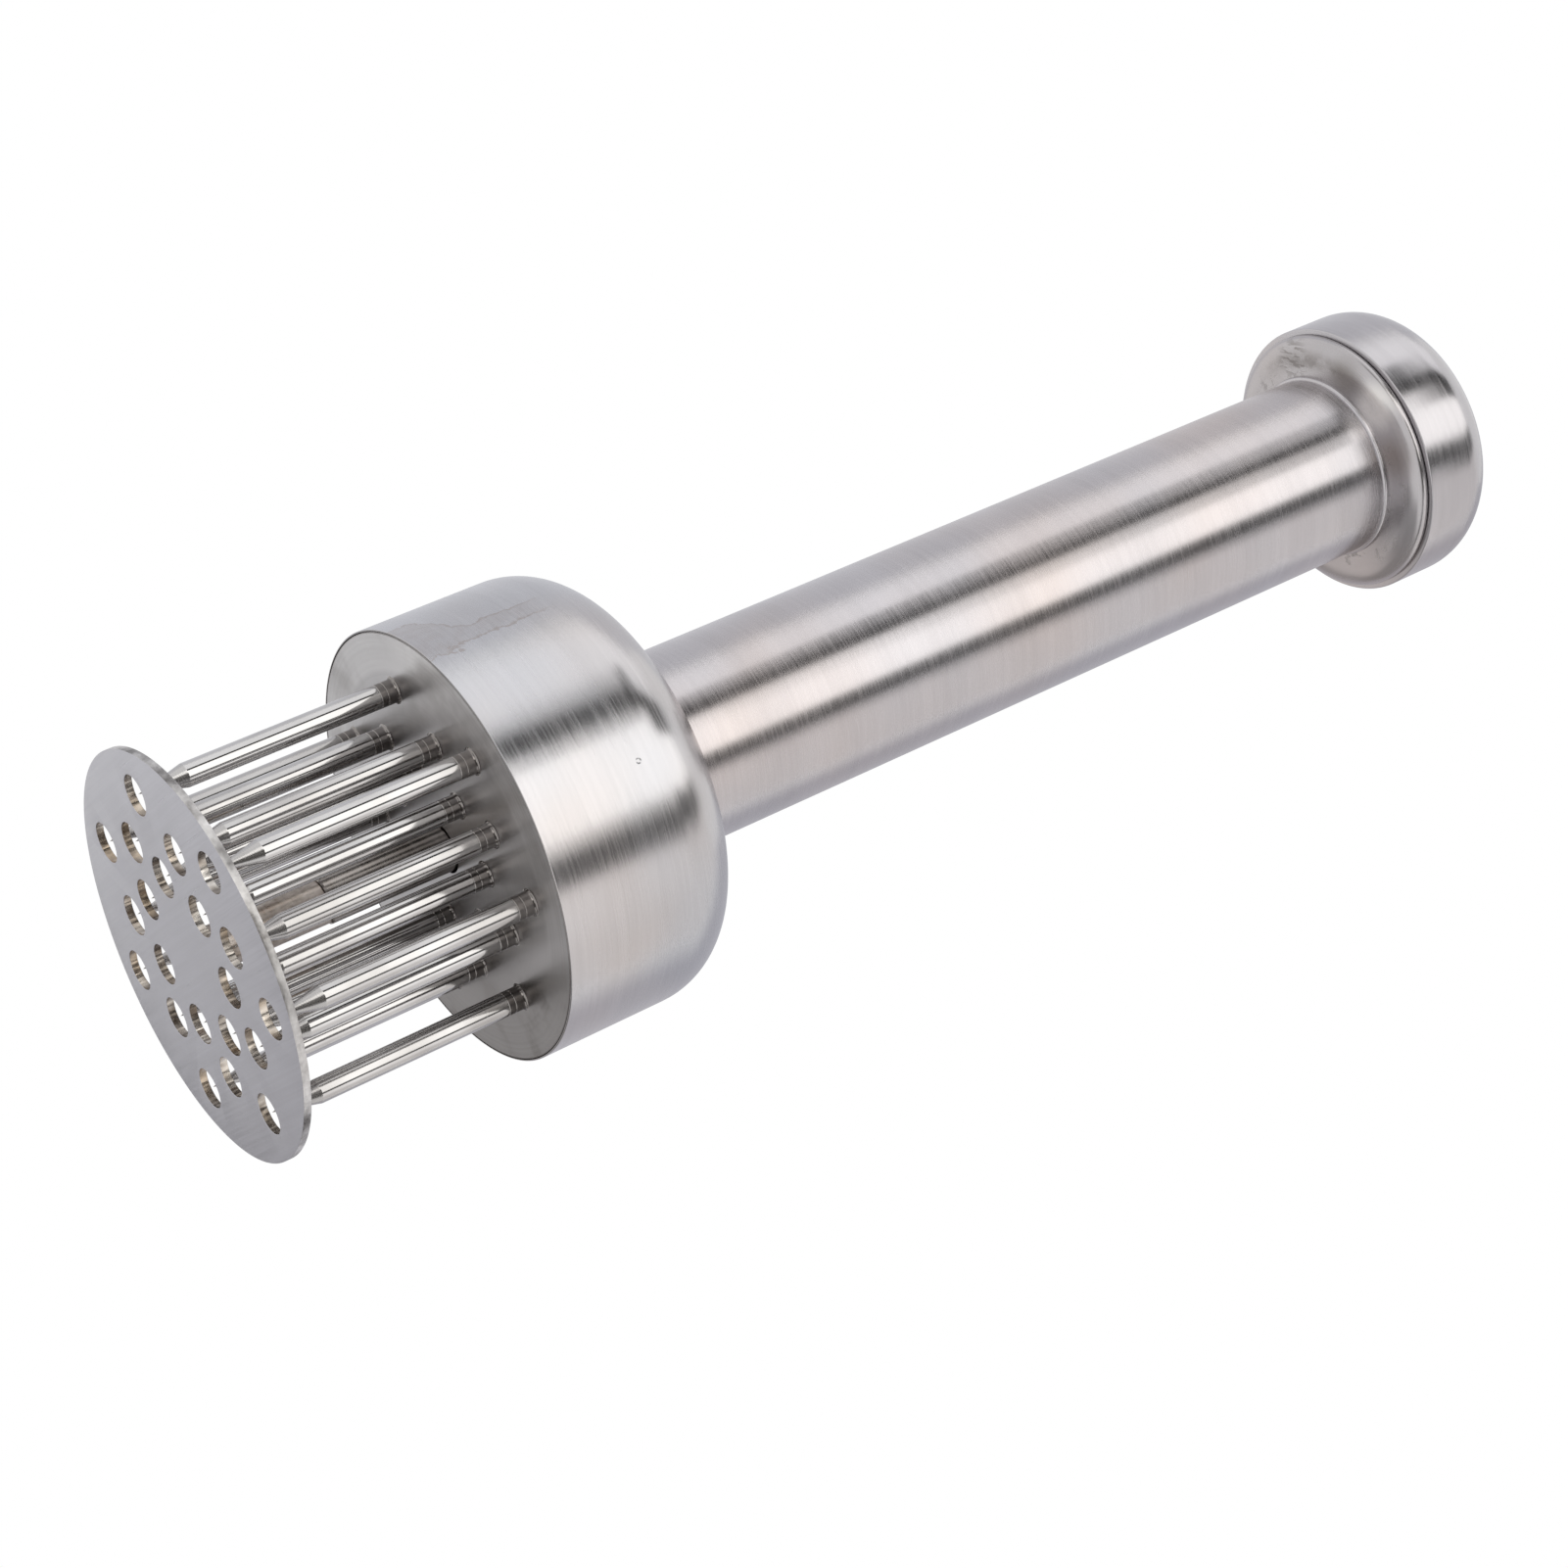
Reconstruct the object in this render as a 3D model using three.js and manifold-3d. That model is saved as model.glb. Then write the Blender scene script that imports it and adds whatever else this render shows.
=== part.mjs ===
// Press meat tenderizer, all of stainless steel. A head with 21 fixed needles sits on a tube handle, and
// a round guard plate hangs in front of it on a sprung shaft. Pressed on meat, the plate slides back
// towards the head and the needles come out through its holes.
// Millimetres, +Z up. The tool stands on its guard plate: the plate's outer face lies at z = 0, the
// tool's axis is the Z axis, and the handle points up.

import * as THREE from 'three';
import { mergeVertices } from 'three/addons/utils/BufferGeometryUtils.js';
import Module from 'manifold-3d';

const wasm = await Module();
wasm.setup();

// Clearances
const FIT_GAP = 0.3; // between parts that slide or screw into each other
const SHANK_GAP = 0.2; // round a needle's shank in the needle disc
const OVERRUN = 1; // how far a cutter passes the faces that it cuts
const WELD_DISTANCE = 0.0005; // points closer than this are one point

// Needle pattern: rings of equally many needles, every second ring turned by half a step
const NEEDLES_PER_RING = 7;
const INNER_RING_RADIUS = 10.15;
const RING_PITCH = 5.1;
const RING_NAMES = ['inner', 'middle', 'outer'];

// Needles
const NEEDLE_RADIUS = 1.5;
const NEEDLE_REACH = 34; // from the disc's outer face to the tip
const POINT_LENGTH = 6; // of the cone turned on the end
const TIP_RECESS = 0.4; // from the guard's outer face in to the tips
const RING_MARK_HEIGHT = 2.4; // of the first turned mark, above the disc
const RING_MARK_PITCH = 0.9;
const RING_MARK_STEP = 0.06; // by which each mark narrows the needle
const COLLAR_RADIUS = 1.95;
const COLLAR_HEIGHT = 0.45;
const TAIL_RADIUS = 2.3;
const TAIL_HEIGHT = 1;
const TAIL_RIM_SHARE = 0.5; // of the tail's height, below its rounded end
const TAIL_TOP_SHARE = 0.6; // of the tail's radius

// Guard plate
const PLATE_RADIUS = 26;
const PLATE_THICKNESS = 1;
const GUARD_HOLE_RADIUS = 2.6;

// Guard stud, welded to the middle of the plate
const STUD_RADIUS = 2.8;
const STUD_LENGTH = 16.4;
const STUD_BEAD = 0.7; // weld fillet at its foot
const STUD_HOLE_DEPTH = 10;
const EDGE_BREAK = 0.25; // chamfer on turned ends

// Plunger shaft
const SHAFT_RADIUS = 3;
const SHAFT_NOSE_RADIUS = 1.5;
const SHAFT_NOSE_LENGTH = 9;
const SHAFT_TAIL_RADIUS = 2;
const SHAFT_TAIL_STICKS_OUT = 1; // past the nut

// Needle disc, let into the bell's mouth
const DISC_THICKNESS = 3;

// Bell
const BELL_RADIUS = 28;
const BELL_DEPTH = 26.6;
const BELL_WALL = 1.5;
const BELL_CORNER_RADIUS = 9.1;
const BELL_LIP = 0.35; // thickness of the lip round the disc

// Handle tube
const TUBE_RADIUS = 12.7;
const TUBE_WALL = 1.2;
const TUBE_LENGTH = 118;
const FOOT_BEAD = 1.2; // weld fillet on the bell
const TOP_BEAD = 0.4; // weld fillet under the end flange

// Guide bush for the shaft
const BUSH_RADIUS = 6;
const BUSH_FLANGE_THICKNESS = 3;

// Piston, which the spring pushes down on
const PISTON_THICKNESS = 4;
const PISTON_RIM_GAP = 0.7; // to the tube's bore
const SPRING_BOSS_RADIUS = 7.2;
const SPRING_BOSS_HEIGHT = 3;

// Piston nut
const NUT_ACROSS_FLATS = 7;
const NUT_HEIGHT = 3.2;

// End flange, welded on the tube's upper end
const FLANGE_RADIUS = 18.4;
const FLANGE_THICKNESS = 2.4;
const FLANGE_RIM_THICKNESS = 2; // at the seam with the cap
const FLANGE_EDGE_WIDTH = 1.9; // of its rounded lower edge, across
const FLANGE_EDGE_HEIGHT = 1.45;
const FLANGE_DISH = 0.25; // by which the underside rises towards the edge
const THREAD_RING_WALL = 1.9;
const THREAD_RING_HEIGHT = 5;

// Spring retainer, a plug screwed into the tube's upper end
const RETAINER_DEPTH = 8; // in the tube
const RETAINER_FLANGE_RADIUS = 14.5;
const RETAINER_FLANGE_THICKNESS = 2.5;
const SLOT_WIDTH = 2;
const SLOT_DEPTH = 1.4;

// Pommel cap
const CAP_RADIUS = 19.2;
const CAP_WALL = 1.4;
const CAP_HEIGHT = 13.4;
const CAP_CORNER_RADIUS = 6.5;
const CAP_LIP_ROUND = 0.4;

// Return spring
const WIRE_RADIUS = 0.7;
const COIL_RADIUS = 8.6; // to the wire's middle
const CLOSED_TURNS = 1; // at each end
const OPEN_TURNS = 12;
const CLOSED_GAP = 0.5; // between the closed turns
const STEPS_PER_TURN = 8;
const WIRE_SIDES = 5;

// Facets round each turned part
const BELL_SIDES = 48;
const POMMEL_SIDES = 40;
const ROD_SIDES = 20;
const NEEDLE_SIDES = 10;
const GUARD_HOLE_SIDES = 16;
const SHANK_HOLE_SIDES = 12;

// Levels along the axis, from the guard plate up
const studTop = PLATE_THICKNESS + STUD_LENGTH;
const discFace = TIP_RECESS + NEEDLE_REACH;
const discBack = discFace + DISC_THICKNESS;
const bellTop = discFace + BELL_DEPTH;
const bushTop = bellTop + BUSH_FLANGE_THICKNESS;
const pistonFoot = bushTop + FIT_GAP;
const pistonFace = pistonFoot + PISTON_THICKNESS;
const pistonTop = pistonFace + SPRING_BOSS_HEIGHT;
const nutTop = pistonTop + NUT_HEIGHT;
const tubeTop = bellTop + TUBE_LENGTH;
const flangeTop = tubeTop + FLANGE_THICKNESS;
const flangeRim = tubeTop + FLANGE_RIM_THICKNESS;
const retainerFoot = tubeTop - RETAINER_DEPTH;
const capLip = flangeRim + FIT_GAP;
const capTop = capLip + CAP_HEIGHT;

// Radii that follow from the parts round them
const tubeBore = TUBE_RADIUS - TUBE_WALL;
const discRadius = BELL_RADIUS - BELL_LIP - FIT_GAP;
const shaftBore = SHAFT_RADIUS + FIT_GAP;
const tailBore = SHAFT_TAIL_RADIUS + FIT_GAP;
const capBore = CAP_RADIUS - CAP_WALL;

const QUARTER = Math.PI / 2;

// Points [radius, height] of an elliptical arc, at angles from the outward direction
function arc(centre, radii, from, to, steps) {
  const points = [];
  for (let i = 0; i <= steps; i += 1) {
    const angle = from + ((to - from) * i) / steps;
    points.push([centre[0] + radii[0] * Math.cos(angle), centre[1] + radii[1] * Math.sin(angle)]);
  }
  return points;
}

// One closed mesh with shared corners and no collapsed triangles
function welded(geometry) {
  geometry.deleteAttribute('normal');
  geometry.deleteAttribute('uv');
  const merged = mergeVertices(geometry, WELD_DISTANCE);
  const corners = Array.from(merged.index.array);
  const kept = [];
  for (let i = 0; i < corners.length; i += 3) {
    const triangle = corners.slice(i, i + 3);
    if (new Set(triangle).size === 3) kept.push(...triangle);
  }
  merged.setIndex(kept);
  merged.computeVertexNormals();
  return merged;
}

// A solid turned round the Z axis. The profile runs up the outside, from axis to axis
function turned(profile, sides) {
  const points = profile.map(([radius, height]) => new THREE.Vector2(radius, height));
  const lathe = new THREE.LatheGeometry(points, sides);
  lathe.rotateX(QUARTER);
  return welded(lathe);
}

// A turned ring. The profile runs up the outside and down the bore, and closes on itself
function turnedRing(profile, sides) {
  return turned([...profile, profile[0]], sides);
}

function toSolid(geometry) {
  const mesh = new wasm.Mesh({
    numProp: 3,
    vertProperties: new Float32Array(geometry.attributes.position.array),
    triVerts: new Uint32Array(geometry.index.array),
  });
  return new wasm.Manifold(mesh);
}

function toGeometry(solid) {
  const mesh = solid.getMesh();
  const geometry = new THREE.BufferGeometry();
  geometry.setAttribute('position', new THREE.BufferAttribute(mesh.vertProperties, 3));
  geometry.setIndex(new THREE.BufferAttribute(mesh.triVerts, 1));
  geometry.computeVertexNormals();
  return geometry;
}

function circleShape(Kind, x, y, radius, sides) {
  const points = [];
  for (let i = 0; i < sides; i += 1) {
    const angle = (2 * Math.PI * i) / sides;
    points.push(new THREE.Vector2(x + radius * Math.cos(angle), y + radius * Math.sin(angle)));
  }
  return new Kind(points);
}

// A flat round plate with round holes right through, its lower face at z = 0
function drilledPlate(radius, thickness, sides, holes) {
  const outline = circleShape(THREE.Shape, 0, 0, radius, sides);
  for (const hole of holes) {
    outline.holes.push(circleShape(THREE.Path, hole.x, hole.y, hole.radius, hole.sides));
  }
  return welded(new THREE.ExtrudeGeometry(outline, { depth: thickness, bevelEnabled: false, steps: 1 }));
}

// Places of the needles, ring by ring from the middle
function needlePlaces() {
  const places = [];
  RING_NAMES.forEach((ring, ringIndex) => {
    const radius = INNER_RING_RADIUS + RING_PITCH * ringIndex;
    const turn = (ringIndex % 2) / 2;
    for (let i = 0; i < NEEDLES_PER_RING; i += 1) {
      const angle = (2 * Math.PI * (i + turn)) / NEEDLES_PER_RING;
      const name = `needle_${ring}_${i + 1}`;
      places.push({ name, x: radius * Math.cos(angle), y: radius * Math.sin(angle) });
    }
  });
  return places;
}

const places = needlePlaces();

// Guard plate: flat disc with a smooth hole in front of each needle
function guardPlate() {
  const holes = places.map((p) => ({ x: p.x, y: p.y, radius: GUARD_HOLE_RADIUS, sides: GUARD_HOLE_SIDES }));
  return drilledPlate(PLATE_RADIUS, PLATE_THICKNESS, BELL_SIDES, holes);
}

// Guard stud: round rod on the plate, with a blind thread hole in its upper end
function guardStud() {
  const foot = PLATE_THICKNESS;
  const bore = SHAFT_NOSE_RADIUS + FIT_GAP;
  const profile = [
    [0, foot],
    [STUD_RADIUS + STUD_BEAD, foot],
    [STUD_RADIUS, foot + STUD_BEAD],
    [STUD_RADIUS, studTop - EDGE_BREAK],
    [STUD_RADIUS - EDGE_BREAK, studTop],
    [bore, studTop],
    [bore, studTop - STUD_HOLE_DEPTH],
    [0, studTop - STUD_HOLE_DEPTH],
  ];
  return turned(profile, ROD_SIDES);
}

// Plunger shaft: screwed into the stud below, and shouldered and threaded for the piston above
function plungerShaft() {
  const noseTip = studTop - SHAFT_NOSE_LENGTH;
  const tailTip = nutTop + SHAFT_TAIL_STICKS_OUT;
  const profile = [
    [0, noseTip],
    [SHAFT_NOSE_RADIUS, noseTip],
    [SHAFT_NOSE_RADIUS, studTop],
    [SHAFT_RADIUS - EDGE_BREAK, studTop],
    [SHAFT_RADIUS, studTop + EDGE_BREAK],
    [SHAFT_RADIUS, pistonFoot],
    [SHAFT_TAIL_RADIUS, pistonFoot],
    [SHAFT_TAIL_RADIUS, tailTip - EDGE_BREAK],
    [SHAFT_TAIL_RADIUS - EDGE_BREAK, tailTip],
    [0, tailTip],
  ];
  return turned(profile, ROD_SIDES);
}

// One needle, its axis on the Z axis: turned point, two turned marks, collar, shank and riveted tail
function needle() {
  const firstMark = discFace - RING_MARK_HEIGHT;
  const secondMark = firstMark + RING_MARK_PITCH;
  const tailRim = discBack + TAIL_HEIGHT * TAIL_RIM_SHARE;
  const profile = [
    [0, TIP_RECESS],
    [NEEDLE_RADIUS, TIP_RECESS + POINT_LENGTH],
    [NEEDLE_RADIUS, firstMark],
    [NEEDLE_RADIUS - RING_MARK_STEP, firstMark + RING_MARK_STEP],
    [NEEDLE_RADIUS - RING_MARK_STEP, secondMark],
    [NEEDLE_RADIUS - 2 * RING_MARK_STEP, secondMark + RING_MARK_STEP],
    [NEEDLE_RADIUS - 2 * RING_MARK_STEP, discFace - COLLAR_HEIGHT],
    [COLLAR_RADIUS, discFace],
    [NEEDLE_RADIUS, discFace],
    [NEEDLE_RADIUS, discBack],
    [TAIL_RADIUS, discBack],
    [TAIL_RADIUS, tailRim],
    [TAIL_RADIUS * TAIL_TOP_SHARE, discBack + TAIL_HEIGHT],
    [0, discBack + TAIL_HEIGHT],
  ];
  return turned(profile, NEEDLE_SIDES);
}

// Needle disc: carries the needles and lets the shaft through its middle
function needleDisc() {
  const shankBore = NEEDLE_RADIUS + SHANK_GAP;
  const holes = places.map((p) => ({ x: p.x, y: p.y, radius: shankBore, sides: SHANK_HOLE_SIDES }));
  holes.push({ x: 0, y: 0, radius: shaftBore, sides: ROD_SIDES });
  const disc = drilledPlate(discRadius, DISC_THICKNESS, BELL_SIDES, holes);
  disc.translate(0, 0, discFace);
  return disc;
}

// Bell: drawn cup, mouth down, with a thin lip round the disc and a shoulder that the disc rests on
function bell() {
  const wallBore = BELL_RADIUS - BELL_WALL;
  const innerCorner = BELL_CORNER_RADIUS - BELL_WALL;
  const lipBore = BELL_RADIUS - BELL_LIP;
  const backHole = BUSH_RADIUS + FIT_GAP;
  const cornerFoot = bellTop - BELL_CORNER_RADIUS;
  const cornerRadii = [BELL_CORNER_RADIUS, BELL_CORNER_RADIUS];
  const innerRadii = [innerCorner, innerCorner];
  const cornerCentre = [BELL_RADIUS - BELL_CORNER_RADIUS, cornerFoot];
  const profile = [
    [BELL_RADIUS, discFace],
    ...arc(cornerCentre, cornerRadii, 0, QUARTER, 7),
    [backHole, bellTop],
    [backHole, bellTop - BELL_WALL],
    ...arc(cornerCentre, innerRadii, QUARTER, 0, 4),
    [wallBore, discBack],
    [lipBore, discBack],
    [lipBore, discFace],
  ];
  return turnedRing(profile, BELL_SIDES);
}

// Handle tube: plain tube with a weld fillet at each end
function handleTube() {
  const footCentre = [TUBE_RADIUS + FOOT_BEAD, bellTop + FOOT_BEAD];
  const profile = [
    ...arc(footCentre, [FOOT_BEAD, FOOT_BEAD], -QUARTER, -2 * QUARTER, 2),
    [TUBE_RADIUS, tubeTop - TOP_BEAD],
    [TUBE_RADIUS + TOP_BEAD, tubeTop],
    [tubeBore, tubeTop],
    [tubeBore, bellTop],
  ];
  return turnedRing(profile, POMMEL_SIDES);
}

// Guide bush: flanged sleeve between the needle disc and the foot of the handle tube
function guideBush() {
  const flangeRadius = tubeBore - FIT_GAP;
  const profile = [
    [BUSH_RADIUS, discBack],
    [BUSH_RADIUS, bellTop],
    [flangeRadius, bellTop],
    [flangeRadius, bushTop],
    [shaftBore, bushTop],
    [shaftBore, discBack],
  ];
  return turnedRing(profile, ROD_SIDES);
}

// Piston: round head on the shaft, with a boss that centres the spring
function springPiston() {
  const rim = tubeBore - PISTON_RIM_GAP;
  const profile = [
    [rim, pistonFoot],
    [rim, pistonFace],
    [SPRING_BOSS_RADIUS, pistonFace],
    [SPRING_BOSS_RADIUS, pistonTop],
    [tailBore, pistonTop],
    [tailBore, pistonFoot],
  ];
  return turnedRing(profile, ROD_SIDES);
}

// Hexagon nut that holds the piston on the shaft
function pistonNut() {
  const corner = NUT_ACROSS_FLATS / 2 / Math.cos(Math.PI / 6);
  const outline = circleShape(THREE.Shape, 0, 0, corner, 6);
  outline.holes.push(circleShape(THREE.Path, 0, 0, tailBore, ROD_SIDES));
  const nut = new THREE.ExtrudeGeometry(outline, { depth: NUT_HEIGHT, bevelEnabled: false, steps: 1 });
  nut.translate(0, 0, pistonTop);
  return welded(nut);
}

// End flange: shallow dish that closes the tube and carries the cap on a threaded ring
function endFlange() {
  const edgeCentre = [FLANGE_RADIUS - FLANGE_EDGE_WIDTH, tubeTop + FLANGE_DISH + FLANGE_EDGE_HEIGHT];
  const edgeRadii = [FLANGE_EDGE_WIDTH, FLANGE_EDGE_HEIGHT];
  const threadRadius = capBore - FIT_GAP;
  const ringTop = flangeRim + THREAD_RING_HEIGHT;
  const profile = [
    [TUBE_RADIUS + TOP_BEAD, tubeTop],
    ...arc(edgeCentre, edgeRadii, -QUARTER, 0, 4),
    [FLANGE_RADIUS, flangeRim],
    [threadRadius, flangeRim],
    [threadRadius, ringTop],
    [threadRadius - THREAD_RING_WALL, ringTop],
    [threadRadius - THREAD_RING_WALL, flangeTop],
    [tubeBore, flangeTop],
    [tubeBore, tubeTop],
  ];
  return turnedRing(profile, POMMEL_SIDES);
}

// Spring retainer: slotted plug whose flange rests on the end flange, with a boss for the spring
function springRetainer() {
  const plugRadius = tubeBore - FIT_GAP;
  const top = flangeTop + RETAINER_FLANGE_THICKNESS;
  const profile = [
    [0, retainerFoot - SPRING_BOSS_HEIGHT],
    [SPRING_BOSS_RADIUS, retainerFoot - SPRING_BOSS_HEIGHT],
    [SPRING_BOSS_RADIUS, retainerFoot],
    [plugRadius, retainerFoot],
    [plugRadius, flangeTop],
    [RETAINER_FLANGE_RADIUS, flangeTop],
    [RETAINER_FLANGE_RADIUS, top],
    [0, top],
  ];
  const slotLength = 2 * (RETAINER_FLANGE_RADIUS + OVERRUN);
  const slot = new THREE.BoxGeometry(slotLength, SLOT_WIDTH, 2 * SLOT_DEPTH);
  slot.translate(0, 0, top);
  return toGeometry(toSolid(turned(profile, ROD_SIDES)).subtract(toSolid(welded(slot))));
}

// Pommel cap: drawn cup, mouth down, with a rounded lip at the seam and a flat top
function pommelCap() {
  const cornerCentre = [CAP_RADIUS - CAP_CORNER_RADIUS, capTop - CAP_CORNER_RADIUS];
  const innerCorner = CAP_CORNER_RADIUS - CAP_WALL;
  const lipCentre = [CAP_RADIUS - CAP_LIP_ROUND, capLip + CAP_LIP_ROUND];
  const profile = [
    [capBore, capLip],
    ...arc(lipCentre, [CAP_LIP_ROUND, CAP_LIP_ROUND], -QUARTER, 0, 2),
    ...arc(cornerCentre, [CAP_CORNER_RADIUS, CAP_CORNER_RADIUS], 0, QUARTER, 6),
    [0, capTop],
    [0, capTop - CAP_WALL],
    ...arc(cornerCentre, [innerCorner, innerCorner], QUARTER, 0, 4),
    [capBore, capLip],
  ];
  return turned(profile, POMMEL_SIDES);
}

// Middle line of the spring's wire: closed turns at both ends and even open turns between them
function springLine() {
  const foot = pistonFace + FIT_GAP + WIRE_RADIUS;
  const head = retainerFoot - FIT_GAP - WIRE_RADIUS;
  const closedPitch = 2 * WIRE_RADIUS + CLOSED_GAP;
  const openPitch = (head - foot - 2 * CLOSED_TURNS * closedPitch) / OPEN_TURNS;
  const turns = 2 * CLOSED_TURNS + OPEN_TURNS;
  const points = [];
  for (let i = 0; i <= turns * STEPS_PER_TURN; i += 1) {
    const turn = i / STEPS_PER_TURN;
    const closedBelow = Math.min(turn, CLOSED_TURNS);
    const closedAbove = Math.max(turn - CLOSED_TURNS - OPEN_TURNS, 0);
    const open = turn - closedBelow - closedAbove;
    const height = foot + (closedBelow + closedAbove) * closedPitch + open * openPitch;
    const angle = 2 * Math.PI * turn;
    points.push(new THREE.Vector3(COIL_RADIUS * Math.cos(angle), COIL_RADIUS * Math.sin(angle), height));
  }
  return points;
}

// Least gap between stretches of the wire that lie at least half a turn apart
function leastSelfGap(line) {
  let least = Infinity;
  for (let i = 0; i < line.length; i += 1) {
    for (let j = i + STEPS_PER_TURN / 2; j < line.length; j += 1) {
      least = Math.min(least, line[i].distanceTo(line[j]) - 2 * WIRE_RADIUS);
    }
  }
  return least;
}

// Return spring: one tube of wire along its line, closed with a flat face at each end
function returnSpring() {
  const line = springLine();
  console.log(`return_spring: least gap to itself ${leastSelfGap(line).toFixed(2)} mm`);
  const up = new THREE.Vector3(0, 0, 1);
  const positions = [];
  line.forEach((point, i) => {
    const before = line[Math.max(i - 1, 0)];
    const after = line[Math.min(i + 1, line.length - 1)];
    const along = after.clone().sub(before).normalize();
    const side = new THREE.Vector3().crossVectors(along, up).normalize();
    const over = new THREE.Vector3().crossVectors(side, along);
    for (let k = 0; k < WIRE_SIDES; k += 1) {
      const angle = (2 * Math.PI * k) / WIRE_SIDES;
      const corner = point.clone();
      corner.addScaledVector(side, WIRE_RADIUS * Math.cos(angle));
      corner.addScaledVector(over, WIRE_RADIUS * Math.sin(angle));
      positions.push(corner.x, corner.y, corner.z);
    }
  });
  const triangles = [];
  for (let i = 0; i < line.length - 1; i += 1) {
    for (let k = 0; k < WIRE_SIDES; k += 1) {
      const a = i * WIRE_SIDES + k;
      const b = i * WIRE_SIDES + ((k + 1) % WIRE_SIDES);
      triangles.push(a, a + WIRE_SIDES, b, b, a + WIRE_SIDES, b + WIRE_SIDES);
    }
  }
  const last = (line.length - 1) * WIRE_SIDES;
  for (let k = 1; k < WIRE_SIDES - 1; k += 1) {
    triangles.push(0, k, k + 1, last, last + k + 1, last + k);
  }
  const geometry = new THREE.BufferGeometry();
  geometry.setAttribute('position', new THREE.Float32BufferAttribute(positions, 3));
  geometry.setIndex(triangles);
  geometry.computeVertexNormals();
  return geometry;
}

function steel(color, roughness) {
  return new THREE.MeshStandardMaterial({ color, roughness, metalness: 1 });
}

const finishes = {
  brushed: steel(0xb9b7b6, 0.35),
  plate: steel(0xa9a8ad, 0.4),
  face: steel(0x8f8c8a, 0.35),
  polished: steel(0xd6d4d2, 0.12),
  turned: steel(0x9c958c, 0.3),
  inner: steel(0xa7a5a2, 0.4),
};

const group = new THREE.Group();

function add(name, geometry, finish) {
  const mesh = new THREE.Mesh(geometry, finish);
  mesh.name = name;
  group.add(mesh);
  return mesh;
}

// The guard, which slides as one piece
add('guard_plate', guardPlate(), finishes.plate);
add('guard_stud', guardStud(), finishes.turned);
add('plunger_shaft', plungerShaft(), finishes.turned);
add('spring_piston', springPiston(), finishes.inner);
add('piston_nut', pistonNut(), finishes.inner);

// The head and its needles
add('needle_disc', needleDisc(), finishes.face);
const needleGeometry = needle();
for (const place of places) {
  add(place.name, needleGeometry, finishes.polished).position.set(place.x, place.y, 0);
}
add('bell', bell(), finishes.brushed);
add('guide_bush', guideBush(), finishes.inner);

// The handle
add('handle_tube', handleTube(), finishes.brushed);
add('return_spring', returnSpring(), finishes.inner);
add('end_flange', endFlange(), finishes.brushed);
add('spring_retainer', springRetainer(), finishes.inner);
add('pommel_cap', pommelCap(), finishes.brushed);

export default group;
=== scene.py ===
import math

import bmesh
import bpy
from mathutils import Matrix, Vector


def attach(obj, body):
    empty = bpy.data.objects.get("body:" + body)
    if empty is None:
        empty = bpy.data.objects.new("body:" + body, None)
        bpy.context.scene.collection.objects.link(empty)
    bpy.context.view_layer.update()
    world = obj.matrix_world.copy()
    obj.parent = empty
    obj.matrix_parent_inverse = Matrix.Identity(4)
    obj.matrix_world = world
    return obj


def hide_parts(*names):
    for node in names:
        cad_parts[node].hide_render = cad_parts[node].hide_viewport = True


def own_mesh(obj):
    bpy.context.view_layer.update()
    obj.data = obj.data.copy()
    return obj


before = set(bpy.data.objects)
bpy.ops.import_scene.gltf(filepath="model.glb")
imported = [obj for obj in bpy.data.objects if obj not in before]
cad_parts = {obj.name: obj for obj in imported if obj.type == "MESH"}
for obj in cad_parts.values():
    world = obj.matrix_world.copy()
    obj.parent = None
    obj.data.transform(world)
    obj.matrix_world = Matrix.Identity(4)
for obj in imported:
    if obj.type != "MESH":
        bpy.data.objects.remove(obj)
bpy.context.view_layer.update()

# The photograph's camera. The tool stands on its guard plate, so the view is from below its foot, up along
# the needles to the pommel.
lens = bpy.data.cameras.new("photo_camera")
lens.sensor_width = 36
lens.lens = 77.856
lens.clip_start = 0.01
lens.clip_end = 20
camera = bpy.data.objects.new("photo_camera", lens)
camera.location = (0.0648, -0.3757, -0.11981)
camera.rotation_euler = (2.4787, -0.94011, -0.6572)
bpy.context.collection.objects.link(camera)
scene = bpy.context.scene
scene.camera = camera
scene.view_settings.view_transform = "Standard"


# Guard plate: a thin round plate of stainless sheet with straight rolling grain. It is drilled in front of
# each needle, its rim is ground by hand, and it is welded on the end of the guard stud.
MM = 0.001
plate_radius = 26 * MM
plate_thickness = 1 * MM
plate_edge = 0.05 * MM
guard_hole_radius = 2.6 * MM
countersink = 0.04 * MM
inner_ring = 10.15 * MM
ring_pitch = 5.1 * MM
ring_count = 3
needles_per_ring = 7
round_steps = 192
drill_steps = 48
drill_reach = 1 * MM
sharp_angle = math.radians(28)

grain_turn = (0, 0, math.radians(6.5))
grain_dark = (0.405, 0.4, 0.43)
grain_light = (0.5, 0.495, 0.53)
handled_grey = (0.42, 0.41, 0.43)
ground_dark = (0.1, 0.09, 0.085)
ground_light = (0.76, 0.745, 0.735)
drilled_light = (0.74, 0.71, 0.67)
drilled_brown = (0.55, 0.43, 0.3)
burnt_brown = (0.13, 0.105, 0.085)
sheet_relief = 0.003 * MM


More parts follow.
